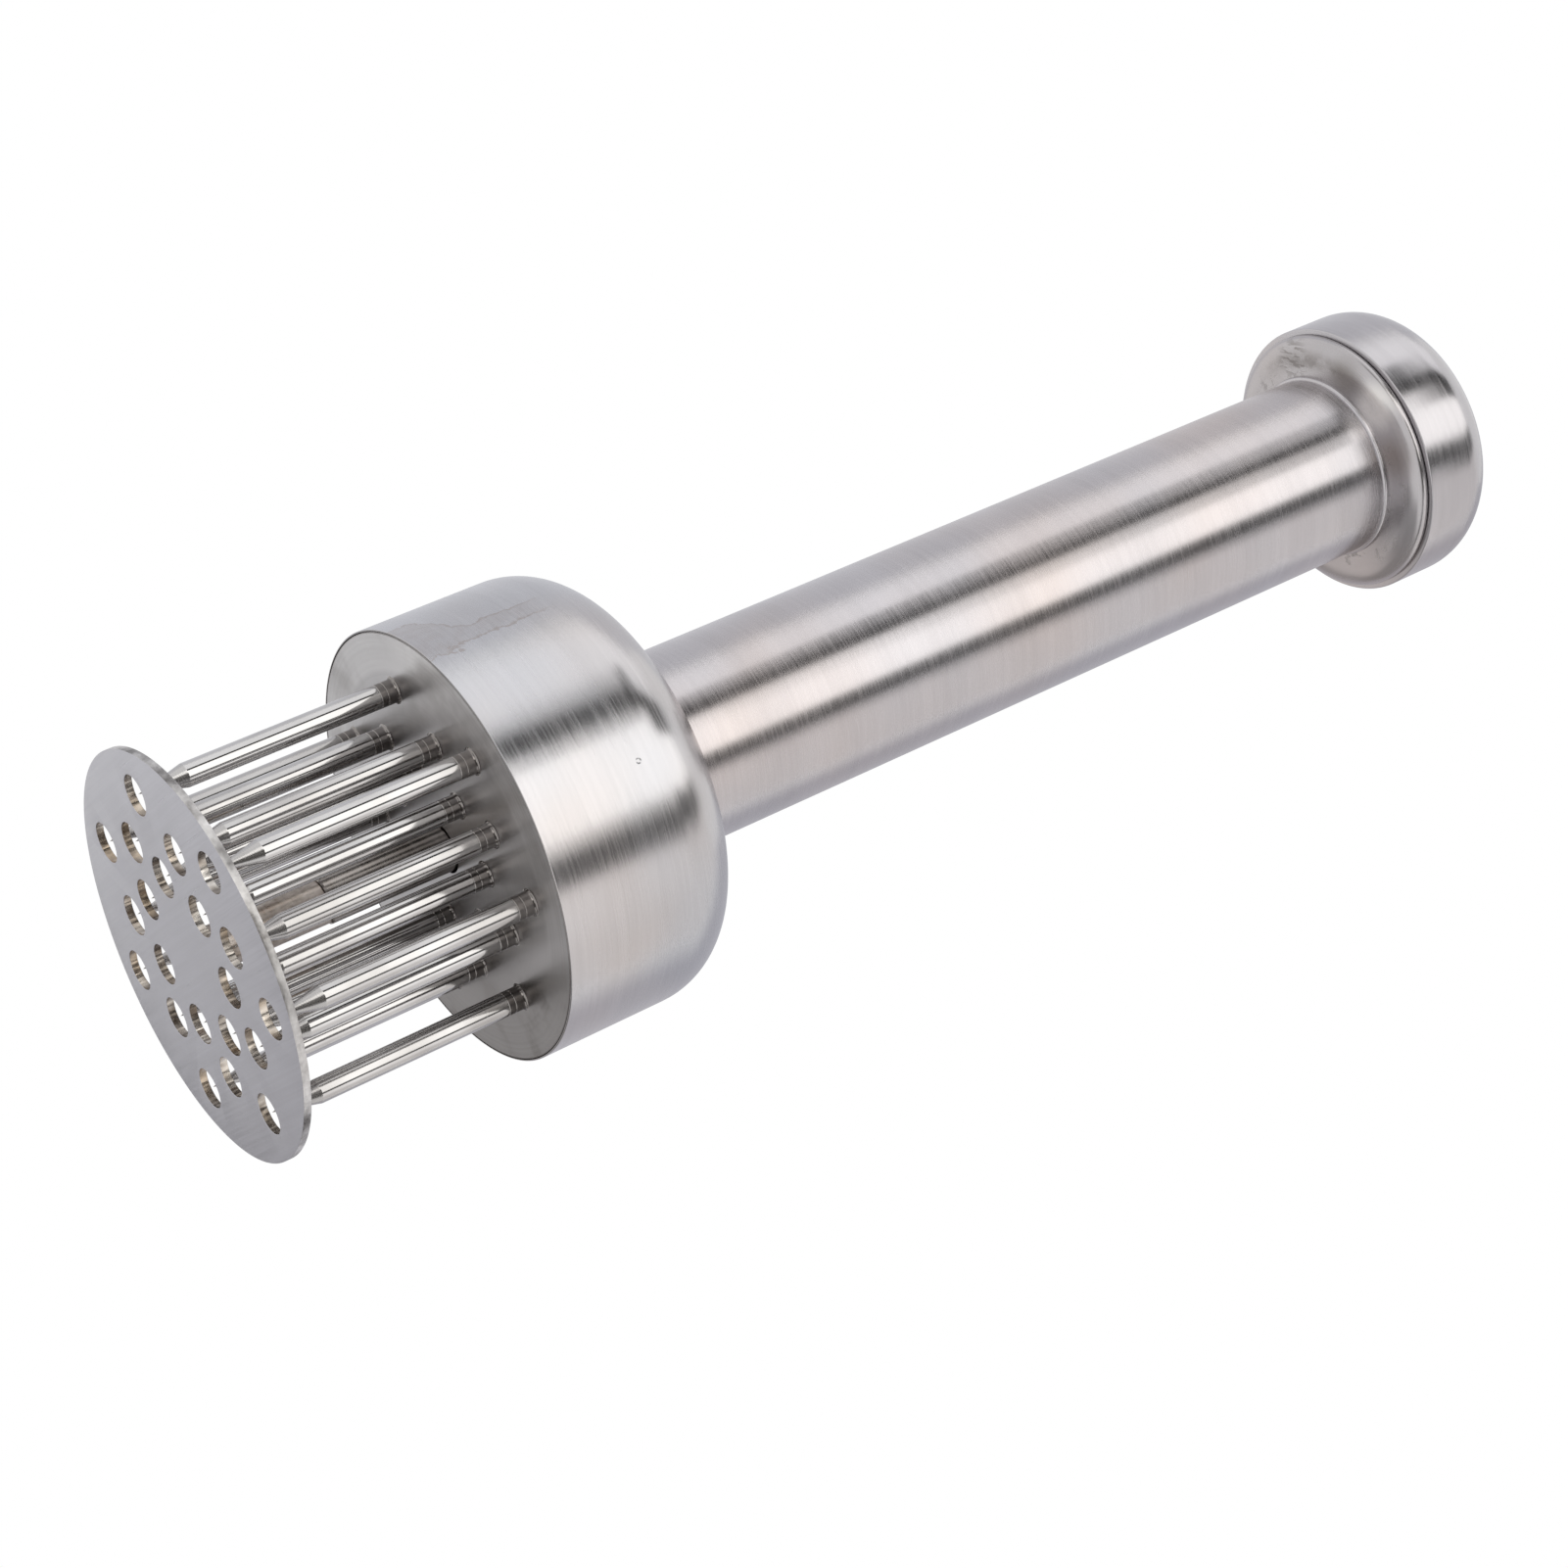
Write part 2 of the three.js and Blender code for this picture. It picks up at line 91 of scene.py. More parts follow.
class Link:
    """An output socket. Arithmetic on it adds Math nodes to its tree."""

    def __init__(self, graph, socket):
        self.graph = graph
        self.socket = socket

    def beside(self, output):
        """Another output of the same node."""
        return Link(self.graph, self.socket.node.outputs[output])

    def __add__(self, other):
        return self.graph.math("ADD", self, other)

    __radd__ = __add__

    def __sub__(self, other):
        return self.graph.math("SUBTRACT", self, other)

    def __rsub__(self, other):
        return self.graph.math("SUBTRACT", other, self)

    def __mul__(self, other):
        return self.graph.math("MULTIPLY", self, other)

    __rmul__ = __mul__

    def __truediv__(self, other):
        return self.graph.math("DIVIDE", self, other)

    def __mod__(self, other):
        return self.graph.math("MODULO", self, other)

    def __abs__(self):
        return self.graph.math("ABSOLUTE", self)


class Graph:
    """A node tree that is filled call by call."""

    def __init__(self, tree):
        self.tree = tree
        tree.nodes.clear()

    def node(self, kind, settings=None, values=None, output=0):
        """Adds a node with its settings and the values or links of its sockets, and gives one output."""
        new = self.tree.nodes.new(kind)
        for name, setting in (settings or {}).items():
            setattr(new, name, setting)
        for key, value in (values or {}).items():
            if isinstance(value, Link):
                self.tree.links.new(value.socket, new.inputs[key])
            else:
                new.inputs[key].default_value = value
        return Link(self, new.outputs[output]) if len(new.outputs) else None

    def math(self, operation, *values):
        return self.node("ShaderNodeMath", {"operation": operation}, dict(enumerate(values)))

    def vector(self, operation, first, second=(0, 0, 0), output="Vector"):
        return self.node("ShaderNodeVectorMath", {"operation": operation}, {0: first, 1: second}, output)

    def mix(self, share, first, second):
        """A colour between two, each a tuple or a link."""
        first, second = [(*c, 1) if isinstance(c, tuple) else c for c in (first, second)]
        return self.node("ShaderNodeMix", {"data_type": "RGBA"}, {0: share, 6: first, 7: second}, output=2)

    def ramp(self, value, low, high, start=0.0, end=1.0):
        """Runs smoothly from start to end while the value runs from low to high."""
        names = ("Value", "From Min", "From Max", "To Min", "To Max")
        values = dict(zip(names, (value, low, high, start, end)))
        return self.node("ShaderNodeMapRange", {"interpolation_type": "SMOOTHSTEP"}, values)

    def noise(self, where, stretch, turn=(0, 0, 0), detail=2.0, lean=0.5):
        """Noise with so many features to the metre along each axis of a turned frame."""
        sizes = tuple(1 / value for value in stretch)
        mapped = self.node("ShaderNodeMapping", {"vector_type": "TEXTURE"},
                           {"Vector": where, "Rotation": turn, "Scale": sizes})
        return self.node("ShaderNodeTexNoise", {},
                         {"Vector": mapped, "Scale": 1.0, "Detail": detail, "Roughness": lean})

    def add_input(self, name, kind, value=None):
        socket = self.tree.interface.new_socket(name, in_out="INPUT", socket_type=kind)
        if value is not None:
            socket.default_value = value
        return socket.identifier

    def inputs(self):
        """The tree's own inputs, as links."""
        given = self.tree.nodes.new("NodeGroupInput")
        return [Link(self, socket) for socket in given.outputs]


class Finish(Graph):
    """The node tree of a new material."""

    def __init__(self, name):
        self.material = bpy.data.materials.new(name)
        self.material.use_nodes = True
        super().__init__(self.material.node_tree)

    def close(self, shader):
        self.node("ShaderNodeOutputMaterial", {}, {"Surface": shader})
        return self.material


class Steel(Finish):
    """A stainless finish: metal whose colour, roughness and bump each surface sets for itself."""

    def __init__(self, name):
        super().__init__(name)
        self.where = self.node("ShaderNodeTexCoord", output="Object")
        self.height = self.node("ShaderNodeSeparateXYZ", {}, {0: self.where}, output="Z")
        normal = self.where.beside("Normal")
        self.facing_up = abs(self.node("ShaderNodeSeparateXYZ", {}, {0: normal}, output="Z"))
        flat = self.vector("MULTIPLY", self.where, (1, 1, 0))
        self.from_axis = self.vector("LENGTH", flat, output="Value")

    def along(self, direction):
        """How far each point lies along a direction."""
        return self.vector("DOT_PRODUCT", self.where, direction, "Value")

    def near(self, place, far, close):
        """1 within close of a place, and 0 beyond far."""
        return self.ramp(self.vector("DISTANCE", self.where, place, "Value"), far, close)

    def patches(self, stretch, turn=(0, 0, 0), detail=2.0, lean=0.5):
        return self.noise(self.where, stretch, turn, detail, lean)

    def streaks(self, stretch, turn=(0, 0, 0), detail=3.0):
        """Noise spread over its whole range from 0 to 1."""
        return self.ramp(self.patches(stretch, turn, detail, 0.6), 0.3, 0.7)

    def done(self, colour, roughness, relief, depth, anisotropy=0.0, turn=0.0):
        bump = self.node("ShaderNodeBump", {}, {"Height": relief, "Distance": depth, "Strength": 1.0})
        values = {
            "Base Color": colour,
            "Metallic": 1.0,
            "Roughness": roughness,
            "Anisotropic": anisotropy,
            "Anisotropic Rotation": turn,
            "Normal": bump,
        }
        return self.close(self.node("ShaderNodeBsdfPrincipled", {}, values))


def mesh_object(name, mesh):
    made = bpy.data.objects.new(name, mesh)
    bpy.context.collection.objects.link(made)
    return made


def crisp(mesh):
    """Smooth faces that meet at sharp edges."""
    work = bmesh.new()
    work.from_mesh(mesh)
    for face in work.faces:
        face.smooth = True
    for edge in work.edges:
        edge.smooth = len(edge.link_faces) == 2 and edge.calc_face_angle(0) < sharp_angle
    work.to_mesh(mesh)
    work.free()


def turned(name, profile, finish=None, steps=round_steps):
    """A solid turned round Z. The profile of (radius, height) runs up the outside, from axis to axis, or
    round a ring and back to its start."""
    ring = profile[0][0] > 0
    work = bmesh.new()
    loops = []
    for radius, height in profile:
        if radius == 0:
            loops.append([work.verts.new((0, 0, height))] * steps)
            continue
        angles = [2 * math.pi * k / steps for k in range(steps)]
        loops.append([work.verts.new((radius * math.cos(a), radius * math.sin(a), height)) for a in angles])
    pairs = list(zip(loops, loops[1:] + loops[:1]))
    for low, high in pairs if ring else pairs[:-1]:
        for k in range(steps):
            following = (k + 1) % steps
            corners = [low[k], low[following], high[following], high[k]]
            work.faces.new(list(dict.fromkeys(corners)))
    mesh = bpy.data.meshes.new(name)
    work.to_mesh(mesh)
    work.free()
    crisp(mesh)
    if finish:
        mesh.materials.append(finish)
    return mesh_object(name, mesh)


def arc(centre, radii, start, end, steps):
    """Profile points on an elliptical arc, from and to angles in degrees from the outward direction."""
    angles = [math.radians(start + (end - start) * i / steps) for i in range(steps + 1)]
    return [(centre[0] + radii[0] * math.cos(a), centre[1] + radii[1] * math.sin(a)) for a in angles]


def new_tree(name):
    """A tree that takes geometry and gives geometry."""
    graph = Graph(bpy.data.node_groups.new(name, "GeometryNodeTree"))
    graph.add_input("Geometry", "NodeSocketGeometry")
    graph.tree.interface.new_socket("Geometry", in_out="OUTPUT", socket_type="NodeSocketGeometry")
    return graph


def ring_tree(name):
    """A tree with the ring pattern's sizes as inputs."""
    graph = new_tree(name)
    graph.add_input("Inner Ring Radius", "NodeSocketFloat", inner_ring)
    graph.add_input("Ring Pitch", "NodeSocketFloat", ring_pitch)
    graph.add_input("Rings", "NodeSocketInt", ring_count)
    graph.add_input("Needles per Ring", "NodeSocketInt", needles_per_ring)
    return graph


def ring_places(graph, inner, pitch, rings, each):
    """Points on rings about the axis, every second ring turned by half a step."""
    points = graph.node("GeometryNodePoints", {}, {"Count": rings * each})
    index = graph.node("GeometryNodeInputIndex")
    ring = graph.math("FLOOR", index / each)
    angle = (index + (ring % 2) / 2) * 2 * math.pi / each
    radius = inner + pitch * ring
    x = radius * graph.math("COSINE", angle)
    y = radius * graph.math("SINE", angle)
    place = graph.node("ShaderNodeCombineXYZ", {}, {"X": x, "Y": y})
    return graph.node("GeometryNodeSetPosition", {}, {"Geometry": points, "Position": place})


def finish_tree(graph, geometry, finish):
    realized = graph.node("GeometryNodeRealizeInstances", {}, {"Geometry": geometry})
    coated = graph.node("GeometryNodeSetMaterial", {}, {"Geometry": realized, "Material": finish})
    graph.node("NodeGroupOutput", {}, {0: coated})


def grown(name, source, tree, settings=None):
    """Runs a tree on an object once and puts the result, a plain mesh, in the object's place."""
    modifier = source.modifiers.new("pattern", "NODES")
    modifier.node_group = tree
    for identifier, value in (settings or {}).items():
        modifier[identifier] = value
    evaluated = source.evaluated_get(bpy.context.evaluated_depsgraph_get())
    mesh = bpy.data.meshes.new_from_object(evaluated)
    bpy.data.objects.remove(source)
    crisp(mesh)
    return mesh_object(name, mesh)


def drilled(name, blank, drill, finish):
    """Cuts a drill out of a blank at every needle."""
    graph = ring_tree(name + "_pattern")
    drill_input = graph.add_input("Drill", "NodeSocketObject")
    inputs = graph.inputs()
    points = ring_places(graph, *inputs[1:5])
    tool = graph.node("GeometryNodeObjectInfo", {}, {"Object": inputs[5]}, output="Geometry")
    drills = graph.node("GeometryNodeInstanceOnPoints", {}, {"Points": points, "Instance": tool})
    drills = graph.node("GeometryNodeRealizeInstances", {}, {"Geometry": drills})
    cut = graph.node("GeometryNodeMeshBoolean", {"operation": "DIFFERENCE", "solver": "EXACT"},
                     {"Mesh 1": inputs[0], "Mesh 2": drills})
    finish_tree(graph, cut, finish)
    made = grown(name, blank, graph.tree, {drill_input: drill})
    bpy.data.objects.remove(drill)
    return made


def drill_bit(name, radius, low, high, sink):
    """A bit that cuts a hole with a small countersink at each face."""
    wide = radius + sink + drill_reach
    profile = [
        (0, low - drill_reach),
        (wide, low - drill_reach),
        (radius, low + sink),
        (radius, high - sink),
        (wide, high + drill_reach),
        (0, high + drill_reach),
    ]
    return turned(name, profile, steps=drill_steps)


sheet_steel = Steel("sheet_steel")
grain = sheet_steel.streaks((2600, 55, 900), grain_turn)
wide_grain = sheet_steel.streaks((900, 22, 300), grain_turn)
handling = sheet_steel.patches((70, 45, 60), (0, 0, 0.6), 3)
grinding = sheet_steel.streaks((260, 260, 500))
fine_grinding = sheet_steel.streaks((1500, 1500, 1500))
burnt = sheet_steel.streaks((330, 330, 220))
heat = sheet_steel.streaks((130, 130, 130), detail=2)
upright = 1 - sheet_steel.ramp(sheet_steel.facing_up, 0.3, 0.6)
rim = upright * sheet_steel.ramp(sheet_steel.from_axis, plate_radius - 1 * MM, plate_radius - 0.5 * MM)
hole_wall = upright - rim

tone = sheet_steel.mix(grain * 0.75 + wide_grain * 0.25, grain_dark, grain_light)
tone = sheet_steel.mix(sheet_steel.ramp(handling, 0.45, 0.75, 0, 0.3), tone, handled_grey)
ground = grinding * 0.45 + fine_grinding * 0.15 + heat * 0.4
tone = sheet_steel.mix(rim, tone, sheet_steel.mix(ground, ground_dark, ground_light))
drilled_tone = sheet_steel.mix(heat, drilled_light, drilled_brown)
tone = sheet_steel.mix(hole_wall, tone, sheet_steel.mix(burnt, drilled_tone, burnt_brown))
rough = 0.36 + (handling - 0.5) * 0.1 + (grain - 0.5) * 0.16
rough = rough + rim * (grinding - 0.3) * 0.15 - hole_wall * 0.16
relief = grain * 1.4 + wide_grain * 0.4 + rim * (grinding * 12 + fine_grinding) + hole_wall * burnt * 3
plate_finish = sheet_steel.done(tone, rough, relief, sheet_relief)

blank_profile = [
    (0, 0),
    *arc((plate_radius - plate_edge, plate_edge), (plate_edge, plate_edge), -90, 0, 3),
    *arc((plate_radius - plate_edge, plate_thickness - plate_edge), (plate_edge, plate_edge), 0, 90, 3),
    (0, plate_thickness),
]
plate_blank = turned("plate_blank", blank_profile)
plate_drill = drill_bit("plate_drill", guard_hole_radius, 0, plate_thickness, countersink)
guard_plate = drilled("guard_plate_sheet", plate_blank, plate_drill, plate_finish)
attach(guard_plate, "guard")
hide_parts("guard_plate")


# Guard stud: a round rod, welded to the middle of the plate with a small fillet and tapped at its upper end
# for the shaft. The welding has tinted it a warm, patchy brown.
stud_radius = 2.8 * MM
stud_foot = plate_thickness
stud_top = stud_foot + 16.4 * MM
stud_bead = 0.7 * MM
stud_bore = 1.8 * MM
stud_bore_foot = stud_top - 10 * MM
stud_chamfer = 0.2 * MM
rod_steps = 64
lathe_relief = 0.001 * MM
quarter_turn = 0.25
stud_dark = (0.28, 0.23, 0.19)
stud_light = (0.66, 0.6, 0.555)


def turned_finish(name, dark, light, roughness, depth, patches=(55, 55, 180), anisotropy=0.5):
    """Metal as it leaves the lathe: fine rings round the axis, with handling marks in patches."""
    rod = Steel(name)
    rings = rod.streaks((160, 160, 3200))
    wander = rod.streaks(patches)
    tone = rod.mix(rings * 0.2 + wander * 0.8, dark, light)
    rough = roughness + (wander - 0.5) * 0.1 + (rings - 0.5) * 0.06
    return rod.done(tone, rough, rings, depth, anisotropy, quarter_turn)


stud_finish = turned_finish("tinted_stud", stud_dark, stud_light, roughness=0.34, depth=lathe_relief,
                            patches=(600, 600, 380), anisotropy=0.2)
stud_profile = [
    (0, stud_foot),
    *arc((stud_radius + stud_bead, stud_foot + stud_bead), (stud_bead, stud_bead), -90, -180, 6),
    (stud_radius, stud_top - stud_chamfer),
    (stud_radius - stud_chamfer, stud_top),
    (stud_bore, stud_top),
    (stud_bore, stud_bore_foot),
    (0, stud_bore_foot),
]
guard_stud = turned("guard_stud_rod", stud_profile, stud_finish, rod_steps)
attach(guard_stud, "guard")
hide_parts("guard_stud")


# Plunger shaft: a ground rod that runs from the stud through the head into the handle. Its lower nose is
# screwed into the stud, and its upper end is shouldered and threaded for the piston.
shaft_radius = 3 * MM
shaft_nose = 1.5 * MM
shaft_nose_tip = stud_top - 9 * MM
shaft_tail = 2 * MM
shaft_shoulder = 64.3 * MM
shaft_tail_tip = 75.5 * MM
shaft_edge = 0.2 * MM
shaft_dark = (0.28, 0.25, 0.225)
shaft_light = (0.44, 0.41, 0.385)

shaft_finish = turned_finish("ground_shaft", shaft_dark, shaft_light, roughness=0.2, depth=lathe_relief)
shaft_profile = [
    (0, shaft_nose_tip),
    (shaft_nose, shaft_nose_tip),
    (shaft_nose, stud_top),
    (shaft_radius - shaft_edge, stud_top),
    (shaft_radius, stud_top + shaft_edge),
    (shaft_radius, shaft_shoulder),
    (shaft_tail, shaft_shoulder),
    (shaft_tail, shaft_tail_tip - shaft_edge),
    (shaft_tail - shaft_edge, shaft_tail_tip),
    (0, shaft_tail_tip),
]
plunger_shaft = turned("plunger_shaft_rod", shaft_profile, shaft_finish, rod_steps)
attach(plunger_shaft, "guard")
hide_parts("plunger_shaft")


# Needle disc: a thick stainless disc, faced on the lathe and let into the bell's mouth. It carries the
# needles, and the shaft passes through its middle. One side is painted lighter, as sheen, and shows the
# facing lines as wear; another is painted darker, as shade, and has dull oil in patches.
disc_face = 34.4 * MM
disc_back = disc_face + 3 * MM
disc_radius = 27.7 * MM
disc_edge = 0.05 * MM
disc_bore = 3.3 * MM
shank_hole = 1.7 * MM
outer_zone_start = 22.2 * MM
outer_zone_end = 23.4 * MM
faced_dark = (0.39, 0.38, 0.388)
faced_light = (0.43, 0.42, 0.428)
edge_dark = (0.4, 0.39, 0.395)
edge_light = (0.63, 0.62, 0.625)
painted_sheen_light = (0.85, 0.83, 0.82)
oil_and_shade_brown = (0.235, 0.22, 0.212)
seam_shade = (0.1, 0.085, 0.08)
facing_wander = 0.4 * MM
facing_relief = 0.002 * MM

faced_steel = Steel("faced_steel")
drift = faced_steel.patches((60, 60, 60))
tool_path = {"X": faced_steel.from_axis, "Y": drift * facing_wander}
tool_path = faced_steel.node("ShaderNodeCombineXYZ", {}, tool_path)
facing = faced_steel.ramp(faced_steel.noise(tool_path, (2800, 2800, 1), detail=3, lean=0.6), 0.3, 0.7)
wide_facing = faced_steel.ramp(faced_steel.noise(tool_path, (800, 800, 1)), 0.3, 0.7)
clouds = faced_steel.patches((110, 110, 110), detail=4)
outer_zone = faced_steel.ramp(faced_steel.from_axis, outer_zone_start, outer_zone_end)
# Painted sheen: the disc is painted lighter towards one side, where the facing lines also show as wear.
wear_and_sheen_side = faced_steel.ramp(faced_steel.along((0.34, -0.94, 0)), 0, 16 * MM)
# Painted shade: the disc is painted darker towards the other side; oil darkens it only in the cloud
# patches.
painted_shade_side = faced_steel.ramp(faced_steel.along((0.93, 0.37, 0)), 6 * MM, 20 * MM)
# Painted shade: a thin dark line at the disc's edge, in the seam against the bell's lip.
seam = faced_steel.ramp(faced_steel.from_axis, disc_radius - 0.2 * MM, disc_radius - 0.1 * MM)

tone = faced_steel.mix(facing * 0.8 + wide_facing * 0.2, faced_dark, faced_light)
lines = 0.5 + (facing * 0.7 + wide_facing * 0.3 - 0.5) * wear_and_sheen_side
tone = faced_steel.mix(outer_zone, tone, faced_steel.mix(lines, edge_dark, edge_light))
tone = faced_steel.mix(wear_and_sheen_side * 0.38, tone, painted_sheen_light)
oil_and_shade = painted_shade_side * 0.85 + faced_steel.ramp(clouds, 0.5, 0.75, 0, 0.4)
tone = faced_steel.mix(oil_and_shade, tone, oil_and_shade_brown)
tone = faced_steel.mix(seam * 0.6, tone, seam_shade)
rough = 0.32 + outer_zone * facing * 0.12 + (clouds - 0.5) * 0.14
disc_finish = faced_steel.done(tone, rough, facing * (0.2 + outer_zone) * wear_and_sheen_side, facing_relief)

disc_profile = [
    (disc_bore, disc_face),
    (disc_radius - disc_edge, disc_face),
    (disc_radius, disc_face + disc_edge),
    (disc_radius, disc_back),
    (disc_bore, disc_back),
]
disc_blank = turned("disc_blank", disc_profile)
disc_drill = drill_bit("disc_drill", shank_hole, disc_face, disc_back, 0)
needle_disc = drilled("needle_disc_plate", disc_blank, disc_drill, disc_finish)
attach(needle_disc, "head")
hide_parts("needle_disc")


# Needles: 21 polished stainless rods, alike, each turned to a long cone at its end, with two turned marks
# near the root and a small flared collar on the disc. Their shanks go through the disc and are riveted
# behind it.
needle_radius = 1.5 * MM
needle_tip = 0.4 * MM
point_length = 6 * MM
first_mark = disc_face - 2.4 * MM
mark_pitch = 0.9 * MM
mark_depth = 0.06 * MM
mark_reach = 0.08 * MM
tool_pitch = 0.27 * MM
shoulder = 0.08 * MM
collar_radius = 1.78 * MM
collar_height = 0.45 * MM
tail_radius = 2.3 * MM
tail_height = 1 * MM
needle_steps = 32
needle_seed = 3
needle_light = (0.6, 0.59, 0.585)
needle_dull = (0.48, 0.465, 0.455)
root_shade_brown = (0.15, 0.13, 0.118)
cone_grey = (0.36, 0.34, 0.33)
needle_relief = 0.0016 * MM

polished_steel = Steel("polished_needle_steel")
height = polished_steel.height
rings = polished_steel.patches((300, 300, 4200), detail=3, lean=0.6)
draw_lines = polished_steel.patches((3200, 3200, 60), detail=3)
wear = polished_steel.patches((160, 160, 90), detail=4)
root = polished_steel.ramp(height, first_mark - 0.1 * MM, first_mark + 0.1 * MM)
shade_near_root = polished_steel.ramp(height, disc_face - 12 * MM, disc_face)
cone = polished_steel.ramp(height, needle_tip + point_length, needle_tip + point_length - 0.1 * MM)
tool_lines = polished_steel.math("SINE", height * (2 * math.pi / tool_pitch) + wear * 3)
tone = polished_steel.mix(polished_steel.ramp(wear, 0.35, 0.7), needle_light, needle_dull)
# Painted shade: the needles grow darker towards the disc, most of all past the first mark.
tone = polished_steel.mix(shade_near_root * 0.25 + root * 0.5, tone, root_shade_brown)
tone = polished_steel.mix(cone * 0.3, tone, cone_grey)
rough = 0.09 + polished_steel.ramp(wear, 0.4, 0.75) * 0.07 + root * 0.05 + cone * 0.12
relief = draw_lines * 0.3 + rings * (0.2 + root * 0.3 + cone) + tool_lines * cone * 0.9
needle_finish = polished_steel.done(tone, rough, relief, needle_relief)

collar_round = (collar_radius - needle_radius, collar_height)
needle_profile = [
    (0, needle_tip),
    (0.04 * needle_radius, needle_tip + 0.04 * point_length),
    (0.5 * needle_radius, needle_tip + 0.5 * point_length),
    (needle_radius * (1 - shoulder / point_length), needle_tip + point_length - shoulder),
    (needle_radius * (1 - 0.25 * shoulder / point_length), needle_tip + point_length),
    (needle_radius, needle_tip + point_length + shoulder),
    (needle_radius, first_mark - mark_reach),
    (needle_radius - mark_depth, first_mark),
    (needle_radius, first_mark + mark_reach),
    (needle_radius, first_mark + mark_pitch - mark_reach),
    (needle_radius - mark_depth, first_mark + mark_pitch),
    (needle_radius, first_mark + mark_pitch + mark_reach),
    (needle_radius, disc_face - collar_height),
    *arc((collar_radius, disc_face - collar_height), collar_round, 180, 90, 4),
    (needle_radius, disc_face),
    (needle_radius, disc_back),
    (tail_radius, disc_back),
    (tail_radius, disc_back + 0.5 * tail_height),
    (0.6 * tail_radius, disc_back + tail_height),
    (0, disc_back + tail_height),
]


def needle_tree(name, finish):
    """Sets a needle at every place of the ring pattern, each turned its own way."""
    graph = ring_tree(name)
    seed_input = graph.add_input("Seed", "NodeSocketInt", needle_seed)
    inputs = graph.inputs()
    points = ring_places(graph, *inputs[1:5])
    turn = graph.node("FunctionNodeRandomValue", {"data_type": "FLOAT"},
                      {"Max": math.pi, "Seed": inputs[5]}, output=1)
    turned_by = graph.node("ShaderNodeCombineXYZ", {}, {"Z": turn})
    rotation = graph.node("FunctionNodeEulerToRotation", {}, {0: turned_by})
    needles = graph.node("GeometryNodeInstanceOnPoints", {},
                         {"Points": points, "Instance": inputs[0], "Rotation": rotation})
    finish_tree(graph, needles, finish)
    return graph.tree, seed_input


one_needle = turned("one_needle", needle_profile, steps=needle_steps)
needle_pattern, seed_input = needle_tree("needle_rings", needle_finish)
needles = grown("turned_needles", one_needle, needle_pattern, {seed_input: needle_seed})
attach(needles, "head")
for ring_name in ("inner", "middle", "outer"):
    for number in range(1, needles_per_ring + 1):
        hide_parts(f"needle_{ring_name}_{number}")


# Bell: a deep cup drawn from stainless sheet, with a rounded shoulder, brushed round its axis. Its mouth is
# bored out, so that a thin lip stands round the needle disc.
bell_radius = 28 * MM
bell_top = disc_face + 26.6 * MM
bell_wall = 1.5 * MM
bell_corner = 9.1 * MM
bell_lip = 0.2 * MM
bell_hole = 6.3 * MM
lip_edge = 0.1 * MM
bell_colour = (0.545, 0.539, 0.538)
smudge_grey = (0.2, 0.18, 0.18)
cool_tint = (0.98, 0.99, 1.03)
warm_tint = (1.045, 0.98, 0.955)
dried_brown = (0.37, 0.32, 0.295)
bell_relief = 0.0009 * MM
drop_side = math.radians(-131.8)
drop_reach = 1.6 * MM
drop_wander = 3.2 * MM
drop_top = 53 * MM
pool_top = 42 * MM
pool_foot = 36.5 * MM
pool_reach = 3.4 * MM
pool_wander = 3 * MM
pool_shift = 2.8 * MM
pit_places = ((4.5 * MM, -27.6 * MM, 49.5 * MM), (23.1 * MM, -15.9 * MM, 54.5 * MM))
pit_radius = 0.45 * MM
pit_floor = 0.15 * MM
pit_depth = 60


def brushed_finish(name, colour, roughness, anisotropy, depth, extra=None):
    """Steel brushed round its axis: fine scratches round it, polishing smudges, cool and warm patches."""
    steel = Steel(name)
    fine = steel.streaks((90, 90, 4200), (0.004, 0.002, 0))
    broad = steel.streaks((40, 40, 1300), (0.01, -0.008, 0))
    crossing = steel.streaks((50, 50, 2200), (0.1, -0.07, 0), 2)
    smudges = steel.patches((30, 30, 45), detail=4)
    wiping = steel.patches((22, 22, 150), detail=3)
    warmth = steel.ramp(steel.patches((17, 17, 23), (0.4, 0.8, 0), 3), 0.38, 0.62)
    shade = fine * 0.32 + broad * 0.3 + steel.ramp(wiping, 0.3, 0.7) * 0.38
    light = tuple(1.07 * part for part in colour)
    dark = tuple(0.93 * part for part in colour)
    tone = steel.mix(shade, dark, light)
    tone = steel.vector("MULTIPLY", tone, steel.mix(warmth, cool_tint, warm_tint))
    tone = steel.mix(steel.ramp(smudges, 0.5, 0.74, 0, 0.12), tone, smudge_grey)
    rough = roughness + (smudges - 0.5) * 0.12 + (fine - 0.5) * 0.08
    relief = fine * 1.3 + broad * 0.8 + crossing * 0.6
    if extra:
        tone, rough, relief = extra(steel, tone, rough, relief)
    return steel.done(tone, rough, relief, depth, anisotropy, quarter_turn)


